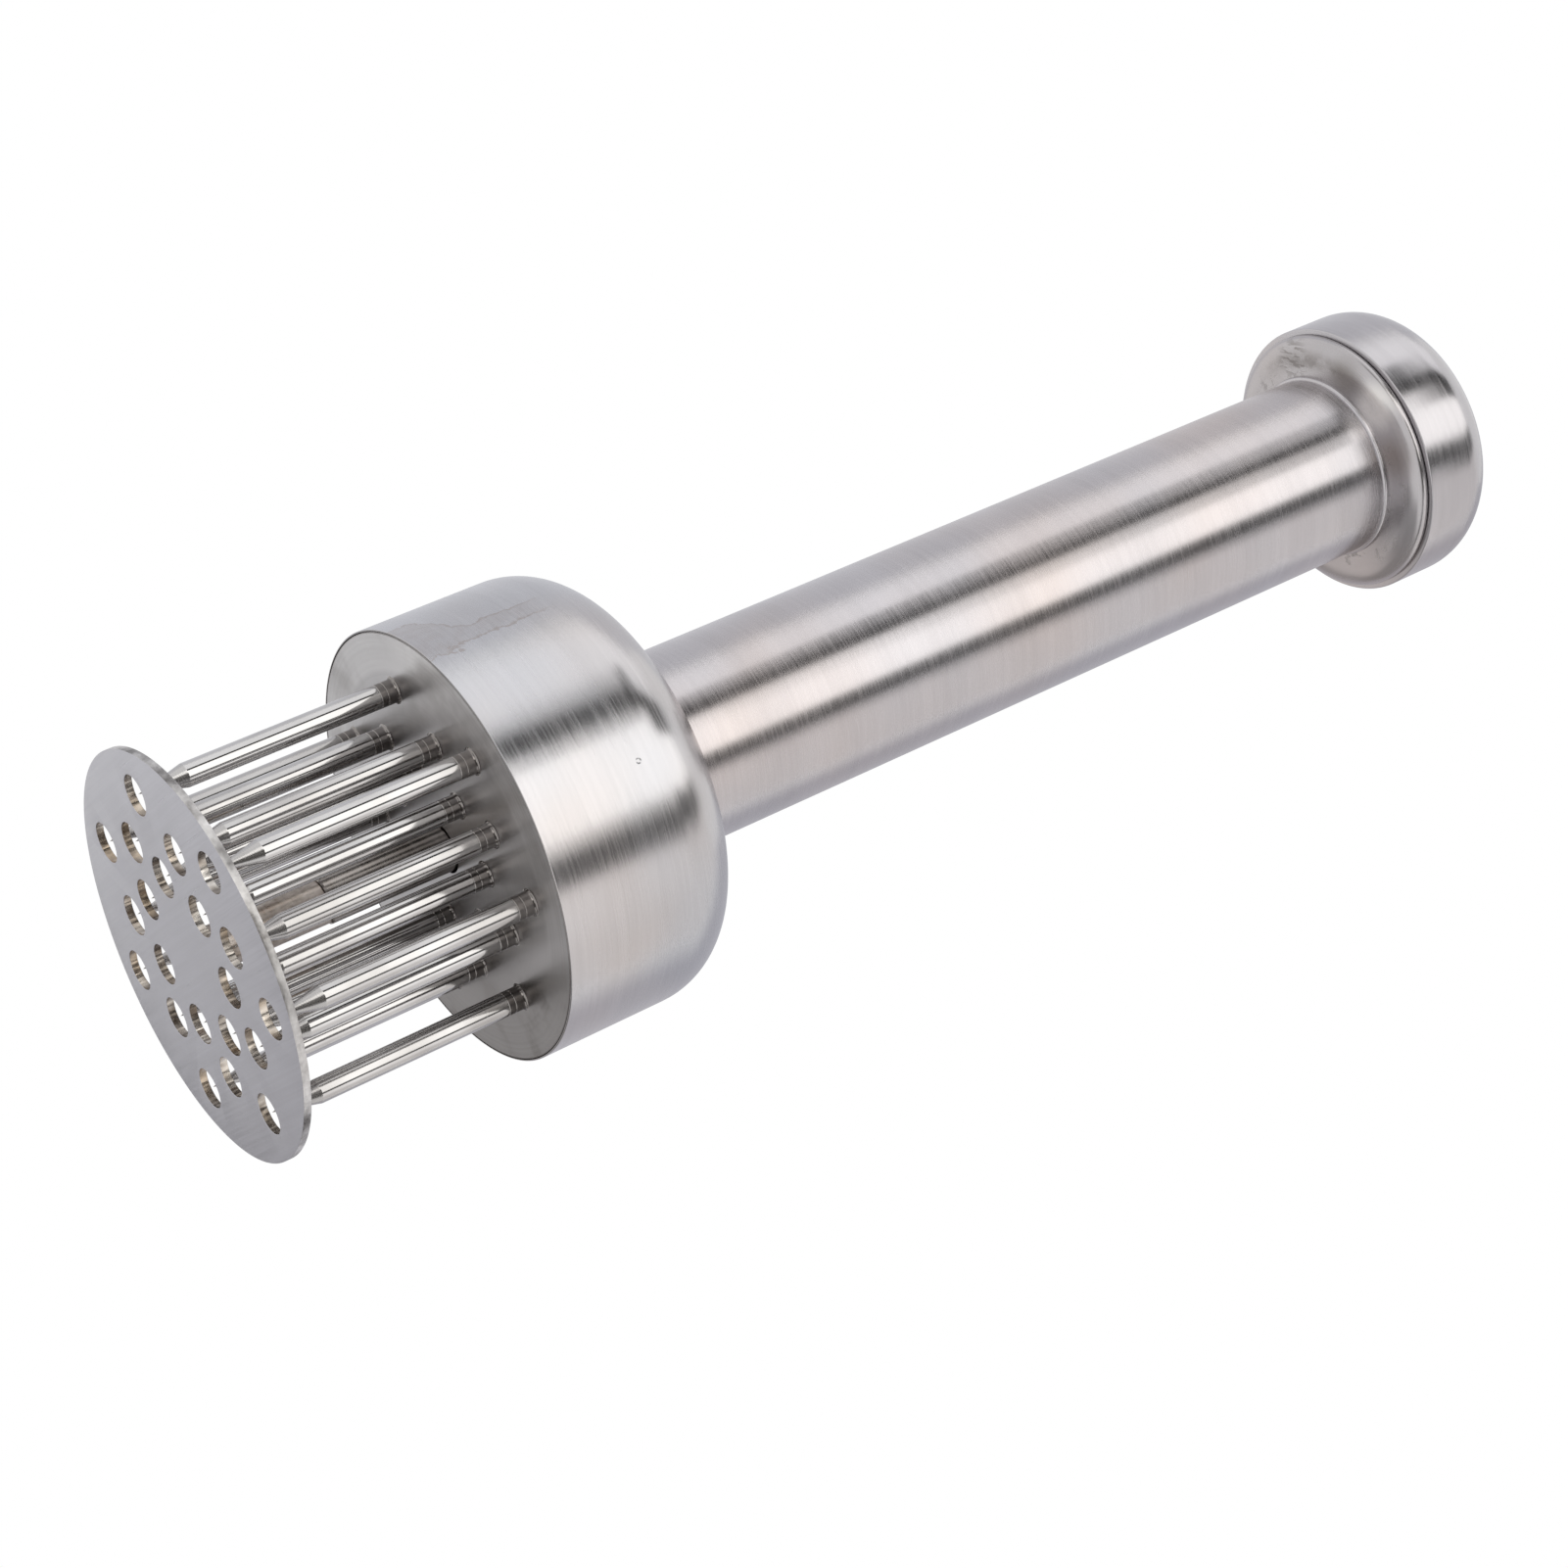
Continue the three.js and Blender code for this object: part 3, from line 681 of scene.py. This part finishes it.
def bell_marks(steel, tone, rough, relief):
    """The dried run of a drop on the bell's side, painted shade in the seam round the disc, and two small
    pits.
    """
    aside = steel.along((-math.sin(drop_side), math.cos(drop_side), 0))
    outward = steel.along((math.cos(drop_side), math.sin(drop_side), 0))
    wobble = steel.patches((550, 550, 550), detail=4, lean=0.65)
    pool = steel.ramp(steel.height, pool_top, pool_foot)
    offset = aside + pool_shift * pool + (wobble - 0.5) * (drop_wander + pool_wander * pool)
    beyond = abs(offset) - (drop_reach + pool_reach * pool)
    here = steel.ramp(outward, 24 * MM, 26 * MM) * steel.ramp(steel.height, drop_top, drop_top - 5 * MM)
    line = steel.ramp(beyond, -0.45 * MM, -0.05 * MM) * steel.ramp(beyond, 0.2 * MM, 0) * here
    dried = steel.ramp(beyond, 0, -0.3 * MM) * here
    stain = dried * (0.12 + 0.1 * pool + 0.12 * steel.ramp(wobble, 0.4, 0.6)) + line * 0.6
    tone = steel.mix(stain, tone, dried_brown)
    # Painted shade in the seam: the bell's lip is darkened just above the disc's face.
    seam = steel.ramp(steel.height, disc_face + 0.07 * MM, disc_face + 0.02 * MM)
    tone = steel.mix(seam * 0.65, tone, seam_shade)
    rough = rough + line * 0.08 + dried * 0.03
    for place in pit_places:
        relief = relief - steel.near(place, pit_radius, pit_floor) * pit_depth
    return tone, rough, relief


bell_finish = brushed_finish("brushed_bell", bell_colour, roughness=0.24, anisotropy=0.7,
                             depth=bell_relief, extra=bell_marks)
corner_centre = (bell_radius - bell_corner, bell_top - bell_corner)
inner_corner = bell_corner - bell_wall
bell_profile = [
    (bell_radius - lip_edge, disc_face),
    (bell_radius, disc_face + lip_edge),
    *arc(corner_centre, (bell_corner, bell_corner), 0, 90, 24),
    (bell_hole, bell_top),
    (bell_hole, bell_top - bell_wall),
    *arc(corner_centre, (inner_corner, inner_corner), 90, 0, 12),
    (bell_radius - bell_wall, disc_back),
    (bell_radius - bell_lip, disc_back),
    (bell_radius - bell_lip, disc_face),
]
bell = turned("bell_cup", bell_profile, bell_finish)
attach(bell, "head")
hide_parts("bell")


# Guide bush, piston and nut: small steel parts, turned on the lathe, that nobody sees. The bush guides the
# shaft in the head, and the nut holds the piston on the shaft's upper end.
machined_dark = (0.44, 0.43, 0.415)
machined_light = (0.6, 0.59, 0.575)
machined_relief = 0.004 * MM

machined_finish = turned_finish("machined_inside", machined_dark, machined_light, roughness=0.3,
                                depth=machined_relief)


def dress(node, finish):
    """Gives a CAD node its finish."""
    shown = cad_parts[node]
    shown.data.materials.clear()
    shown.data.materials.append(finish)


for inner_part in ("guide_bush", "spring_piston", "piston_nut"):
    dress(inner_part, machined_finish)


# Handle tube: plain stainless tube, brushed round its axis and welded on the bell. A thin bead of weld runs
# round its foot and its upper end.
tube_radius = 12.7 * MM
tube_bore = 11.5 * MM
tube_foot = bell_top
tube_top = tube_foot + 118 * MM
foot_bead = 1.2 * MM
top_bead = 0.4 * MM
tube_colour = (0.54, 0.515, 0.509)
tube_relief = 0.0004 * MM

tube_finish = brushed_finish("brushed_tube", tube_colour, roughness=0.25, anisotropy=0.7,
                             depth=tube_relief)
tube_profile = [
    *arc((tube_radius + foot_bead, tube_foot + foot_bead), (foot_bead, foot_bead), -90, -180, 8),
    (tube_radius, tube_top - 2 * top_bead),
    *arc((tube_radius, tube_top - top_bead), (top_bead, top_bead), -90, 0, 5),
    (tube_radius + top_bead, tube_top),
    (tube_bore, tube_top),
    (tube_bore, tube_foot),
]
handle_tube = turned("handle_tube_wall", tube_profile, tube_finish)
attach(handle_tube, "head")
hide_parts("handle_tube")


# Return spring: round spring wire wound in an open coil with a closed turn at each end. It stands between
# the piston and the retainer, inside the handle, and shortens as the guard slides in.
wire_radius = 0.7 * MM
wire_sides = 12
coil_radius = 8.6 * MM
coil_foot = 69.3 * MM
coil_head = 170 * MM
closed_pitch = 1.9 * MM
open_turns = 12
turn_steps = 32
wire_dark = (0.42, 0.4, 0.38)
wire_light = (0.62, 0.6, 0.58)
wire_relief = 0.002 * MM


def coil_line():
    """Points on the wire's middle line, from the piston up."""
    open_pitch = (coil_head - coil_foot - 2 * closed_pitch) / open_turns
    points = []
    for i in range((open_turns + 2) * turn_steps + 1):
        turn = i / turn_steps
        closed = min(turn, 1) + max(turn - 1 - open_turns, 0)
        height = coil_foot + closed * closed_pitch + (turn - closed) * open_pitch
        angle = 2 * math.pi * turn
        points.append((coil_radius * math.cos(angle), coil_radius * math.sin(angle), height))
    return points


def wire_tree(name, finish):
    """Draws a round wire along the curve that it is given."""
    graph = new_tree(name)
    graph.add_input("Wire Radius", "NodeSocketFloat", wire_radius)
    inputs = graph.inputs()
    section = graph.node("GeometryNodeCurvePrimitiveCircle", {},
                         {"Resolution": wire_sides, "Radius": inputs[1]})
    wire = graph.node("GeometryNodeCurveToMesh", {},
                      {"Curve": inputs[0], "Profile Curve": section, "Fill Caps": True})
    finish_tree(graph, wire, finish)
    return graph.tree


wire_finish = turned_finish("drawn_spring_wire", wire_dark, wire_light, roughness=0.26,
                            depth=wire_relief, anisotropy=0.0)
path = bpy.data.curves.new("spring_path", "CURVE")
path.dimensions = "3D"
strand = path.splines.new("POLY")
line = coil_line()
strand.points.add(len(line) - 1)
for point, place in zip(strand.points, line):
    point.co = (*place, 1)
spring_path = mesh_object("spring_path", path)
return_spring = grown("return_spring_coil", spring_path, wire_tree("spring_wire", wire_finish))
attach(return_spring, "head")
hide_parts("return_spring")
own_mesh(return_spring)


# Spring retainer: a slotted steel plug, turned and screwed into the tube's upper end under the cap. It
# holds the spring's upper end.
dress("spring_retainer", machined_finish)


# End flange: a shallow stainless dish welded on the tube's upper end. Its face is turned, its edge is
# rounded, and it carries the pommel cap on a threaded ring. The weld has left scuffs and a brown heat tint
# on its face, the tint deepened by painted shade; a painted highlight, a painted dark patch and a painted
# band of shade are on it too.
flange_radius = 18.4 * MM
flange_foot = tube_top
flange_top = flange_foot + 2.4 * MM
flange_rim = flange_foot + 2.12 * MM
flange_edge = (3.6 * MM, 1.5 * MM)
flange_dish = 0.25 * MM
thread_outer = 17.5 * MM
thread_inner = 15.6 * MM
thread_top = flange_foot + 7 * MM
seam_edge = 0.1 * MM
shade_ring = 15.4 * MM
rubbed_place = (-14.8 * MM, -5.4 * MM, flange_foot)
highlight_place = (-2 * MM, -15.4 * MM, flange_foot)
heat_and_shade_place = (5.2 * MM, -13.6 * MM, flange_foot)
shade_place = (-7.4 * MM, -12.8 * MM, flange_foot)
tint_reach = 4.6 * MM
flange_colour = (0.48, 0.455, 0.445)
painted_highlight_metal = (0.86, 0.83, 0.8)
heat_and_shade_brown = (0.26, 0.21, 0.18)
scuff_and_shade_grey = (0.24, 0.22, 0.21)
flange_relief = 0.0005 * MM


def weld_scuffs(steel, tone, rough, relief):
    """Dark scuffs and a rubbed place near the weld, a brown heat tint deepened by painted shade, a painted
    highlight, and a painted dark patch and band of shade.
    """
    scuffs = steel.patches((420, 420, 420), detail=4, lean=0.6)
    strokes = steel.streaks((1700, 350, 350), (0, 0, 0.6), 2)
    near_weld = steel.ramp(steel.from_axis, 17.2 * MM, 13.4 * MM)
    rubbed = steel.near(rubbed_place, 4 * MM, 1 * MM)
    mark = steel.ramp(scuffs, 0.56, 0.66) * near_weld + rubbed * steel.ramp(strokes, 0.4, 0.7) * 1.5
    # Painted shade: a dark band round the dish on one side, broken up by the scuff pattern.
    shade_band_side = steel.ramp(steel.along((-0.82, -0.57, 0)), 10 * MM, 15 * MM)
    shade_band = steel.ramp(abs(steel.from_axis - shade_ring), 1.9 * MM, 0.3 * MM) * shade_band_side
    # Painted highlight: a bright patch on the dish's face, where its rounded edge catches the light.
    bright = steel.near(highlight_place, tint_reach, 1 * MM)
    # A brown heat tint near the weld, darkened further as painted shade.
    heat_and_shade = steel.near(heat_and_shade_place, tint_reach, 0.5 * MM)
    # Painted shade: a dark patch on the dish's face. The same grey also darkens the real scuffs.
    painted_shade = steel.near(shade_place, tint_reach, 0.5 * MM)
    tone = steel.mix(bright * 0.85, tone, painted_highlight_metal)
    tone = steel.mix(shade_band * steel.ramp(scuffs, 0.35, 0.6, 0.25, 0.6), tone, scuff_and_shade_grey)
    tone = steel.mix(heat_and_shade * 0.6, tone, heat_and_shade_brown)
    tone = steel.mix(painted_shade * 0.8 + mark * 0.5, tone, scuff_and_shade_grey)
    return tone, rough + mark * 0.12, relief


flange_finish = brushed_finish("brushed_flange", flange_colour, roughness=0.24, anisotropy=0.5,
                               depth=flange_relief, extra=weld_scuffs)
edge_centre = (flange_radius - flange_edge[0], flange_foot + flange_dish + flange_edge[1])
flange_profile = [
    (tube_radius + top_bead, flange_foot),
    *arc(edge_centre, flange_edge, -90, 0, 14),
    (flange_radius, flange_rim - seam_edge),
    (flange_radius - seam_edge, flange_rim),
    (thread_outer, flange_rim),
    (thread_outer, thread_top),
    (thread_inner, thread_top),
    (thread_inner, flange_top),
    (tube_bore, flange_top),
    (tube_bore, flange_foot),
]
end_flange = turned("end_flange_dish", flange_profile, flange_finish)
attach(end_flange, "head")
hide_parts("end_flange")


# Pommel cap: a cup drawn from stainless sheet, mouth down, that screws on the end flange. It is brushed
# round its axis, with a small rounding at the seam and a flat top for the palm.
cap_radius = 19.2 * MM
cap_wall = 1.4 * MM
cap_lip = flange_rim + 0.1 * MM
cap_top = flange_foot + 15.7 * MM
cap_corner = 6.5 * MM
cap_lip_round = 0.18 * MM
cap_colour = (0.515, 0.493, 0.487)
cap_relief = 0.0006 * MM

cap_finish = brushed_finish("brushed_cap", cap_colour, roughness=0.22, anisotropy=0.4, depth=cap_relief)
cap_centre = (cap_radius - cap_corner, cap_top - cap_corner)
cap_inner = cap_corner - cap_wall
cap_profile = [
    (0, cap_top - cap_wall),
    *arc(cap_centre, (cap_inner, cap_inner), 90, 0, 10),
    (cap_radius - cap_wall, cap_lip),
    *arc((cap_radius - cap_lip_round, cap_lip + cap_lip_round), (cap_lip_round, cap_lip_round), -90, 0, 6),
    *arc(cap_centre, (cap_corner, cap_corner), 0, 90, 24),
    (0, cap_top),
]
pommel_cap = turned("pommel_cap_cup", cap_profile, cap_finish)
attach(pommel_cap, "head")
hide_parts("pommel_cap")


# Table and room: a matt white table under the guard plate that fades into a white room. Seen from below, as
# in the photograph, the table is clear.
table_reach = 1.5
table_height = -0.3 * MM
table_grey = (0.8, 0.8, 0.8, 1)
full_white = (1, 1, 1, 1)
fade_start = 0.3
fade_end = 1.2
room_light = 0.75

table_paint = Finish("table_paint")
place = table_paint.node("ShaderNodeTexCoord", output="Object")
faded = table_paint.ramp(table_paint.vector("LENGTH", place, output="Value"), fade_start, fade_end)
matt = table_paint.node("ShaderNodeBsdfDiffuse", {}, {"Color": table_grey})
glow = table_paint.node("ShaderNodeEmission", {}, {"Color": full_white, "Strength": 1.0})
fading = table_paint.node("ShaderNodeMixShader", {}, {0: faded, 1: matt, 2: glow})
clear = table_paint.node("ShaderNodeBsdfTransparent")
from_below = table_paint.node("ShaderNodeNewGeometry", output="Backfacing")
both = table_paint.node("ShaderNodeMixShader", {}, {0: from_below, 1: fading, 2: clear})
table_corners = [
    (-table_reach, -table_reach, table_height),
    (table_reach, -table_reach, table_height),
    (table_reach, table_reach, table_height),
    (-table_reach, table_reach, table_height),
]
table_top = bpy.data.meshes.new("table")
table_top.from_pydata(table_corners, [], [(0, 1, 2, 3)])
table_top.materials.append(table_paint.close(both))
table = mesh_object("table", table_top)
table.visible_glossy = False
table.visible_diffuse = False
table.visible_shadow = False

room = bpy.data.worlds.new("white_room")
scene.world = room
room.use_nodes = True
walls = Graph(room.node_tree)
camera_ray = walls.node("ShaderNodeLightPath", output="Is Camera Ray")
seen = camera_ray + camera_ray.beside("Is Glossy Ray") + camera_ray.beside("Is Transmission Ray")
bright = walls.node("ShaderNodeBackground", {}, {"Color": full_white, "Strength": 1.0})
dim = walls.node("ShaderNodeBackground", {}, {"Color": full_white, "Strength": room_light})
mixed = walls.node("ShaderNodeMixShader", {}, {0: walls.math("MINIMUM", seen, 1), 1: dim, 2: bright})
walls.node("ShaderNodeOutputWorld", {}, {"Surface": mixed})


# Light: tall panels round the tool, which its polished sides show as light and dark bands. Heights are in
# metres, and angles in degrees from the camera's side. A lamp above throws a soft shadow on the table.
camera_side = -80.2
panel_columns = 12


def light_panel(name, rows, level, fade=(0.3, 0.3), rise=(0.0, 0.0), distance=1.1):
    """An upright curved panel that fades out at its edges. Each row gives a height and the two angles
    between which the panel stands there. fade and rise are shares of its width and height."""
    work = bmesh.new()
    shares = work.loops.layers.uv.new("shares")
    grid = []
    for height, first, last in rows:
        step = (last - first) / panel_columns
        angles = [math.radians(camera_side + first + step * i) for i in range(panel_columns + 1)]
        places = [(distance * math.cos(a), distance * math.sin(a), height) for a in angles]
        grid.append([work.verts.new(place) for place in places])
    foot = rows[0][0]
    full_height = rows[-1][0] - foot
    for j in range(len(rows) - 1):
        for i in range(panel_columns):
            corners = ((i, j), (i + 1, j), (i + 1, j + 1), (i, j + 1))
            face = work.faces.new([grid[up][across] for across, up in corners])
            for loop, (across, up) in zip(face.loops, corners):
                loop[shares].uv = (across / panel_columns, (rows[up][0] - foot) / full_height)
    mesh = bpy.data.meshes.new(name)
    work.to_mesh(mesh)
    work.free()
    paint = Finish(name + "_paint")
    place = paint.node("ShaderNodeUVMap", {"uv_map": "shares"})
    across = paint.node("ShaderNodeSeparateXYZ", {}, {0: place})
    up = across.beside("Y")
    edges = [(across, 0, fade[0]), (across, 1, 1 - fade[1]), (up, 0, rise[0]), (up, 1, 1 - rise[1])]
    cover = 1
    for share, start, end in edges:
        if start != end:
            cover = paint.ramp(share, start, end) * cover
    glow = paint.node("ShaderNodeEmission", {}, {"Color": (*level, 1), "Strength": 1.0})
    clear = paint.node("ShaderNodeBsdfTransparent")
    mesh.materials.append(paint.close(paint.node("ShaderNodeMixShader", {}, {0: cover, 1: clear, 2: glow})))
    made = mesh_object(name, mesh)
    made.visible_camera = False
    made.visible_diffuse = False
    made.visible_shadow = False


light_panel("key_panel", [(-0.25, -36, -7), (0.15, -36, -7), (0.2, -36, 33), (2.4, -36, 33)],
            (1.77, 1.75, 1.71), fade=(0.1, 0.1))
light_panel("dark_panel_left",
            [(0.1, -41, -24), (0.445, -41, -24), (0.46, -37.5, -15.5), (0.59, -40, -17),
             (0.69, -56, -23), (0.915, -56.5, -22.5), (0.95, -42, -8), (2.4, -42, -8)],
            (0.045, 0.045, 0.045), fade=(0.2, 0.18), distance=1.0)
light_panel("dark_panel_right",
            [(0.1, 24, 44), (0.445, 24, 44), (0.46, 17, 49), (0.59, 17, 48),
             (0.69, 16.5, 42), (0.915, 16.5, 42), (0.95, 19, 55), (2.4, 19, 55)],
            (0.12, 0.12, 0.12), distance=1.0)
light_panel("needle_fill", [(0.1, -92, -40), (0.47, -92, -40)],
            (1.12, 1.12, 1.13), fade=(0.4, 0.1), distance=1.15)
light_panel("needle_glint", [(0.1, 39, 82), (0.47, 39, 82)],
            (1.4, 1.38, 1.37), fade=(0.05, 0.8))
light_panel("fill_panel", [(0.47, -92, -40), (2.4, -92, -40)],
            (1.3, 1.3, 1.31), fade=(0.4, 0.2), distance=1.15)
light_panel("left_wall", [(0.0, -182, -80), (2.4, -182, -80)],
            (0.765, 0.77, 0.805), fade=(0.05, 0.2), distance=1.2)
light_panel("right_wall", [(0.1, 38, 104), (2.4, 38, 104)],
            (0.93, 0.905, 0.895), fade=(0.1, 0.1), distance=1.15)
light_panel("table_side", [(-0.1, 98, 184), (2.4, 98, 184)],
            (0.585, 0.58, 0.625), fade=(0.3, 0.12), distance=1.18)
light_panel("table_near", [(-0.9, 150, 185), (-0.36, 150, 185)],
            (0.84, 0.83, 0.84), fade=(0.25, 0.2), rise=(0.3, 0.2), distance=1.2)
light_panel("table_edge", [(-2.2, 96, 190), (0.1, 96, 190)],
            (0.38, 0.375, 0.38), fade=(0.2, 0.22), rise=(0, 0.1), distance=1.22)
light_panel("table_front", [(-0.62, -26, 24), (-0.34, -26, 24)],
            (1.5, 1.47, 1.42), fade=(0.1, 0.1), rise=(0.15, 0.15), distance=1.2)
light_panel("dark_room", [(-0.75, -72, 118), (-0.3, -72, 118), (-0.25, -10, 58), (0.2, -10, 58)],
            (0.1, 0.095, 0.09), fade=(0.06, 0.1), rise=(0.3, 0), distance=1.25)

lamp = bpy.data.lights.new("top_lamp", "AREA")
lamp.shape = "DISK"
lamp.size = 0.8
lamp.energy = 8
top_lamp = bpy.data.objects.new("top_lamp", lamp)
top_lamp.location = (-0.3, -0.3, 1.2)
top_lamp.rotation_euler = Vector(top_lamp.location).to_track_quat("Z", "Y").to_euler()
top_lamp.visible_glossy = False
top_lamp.visible_camera = False
bpy.context.collection.objects.link(top_lamp)
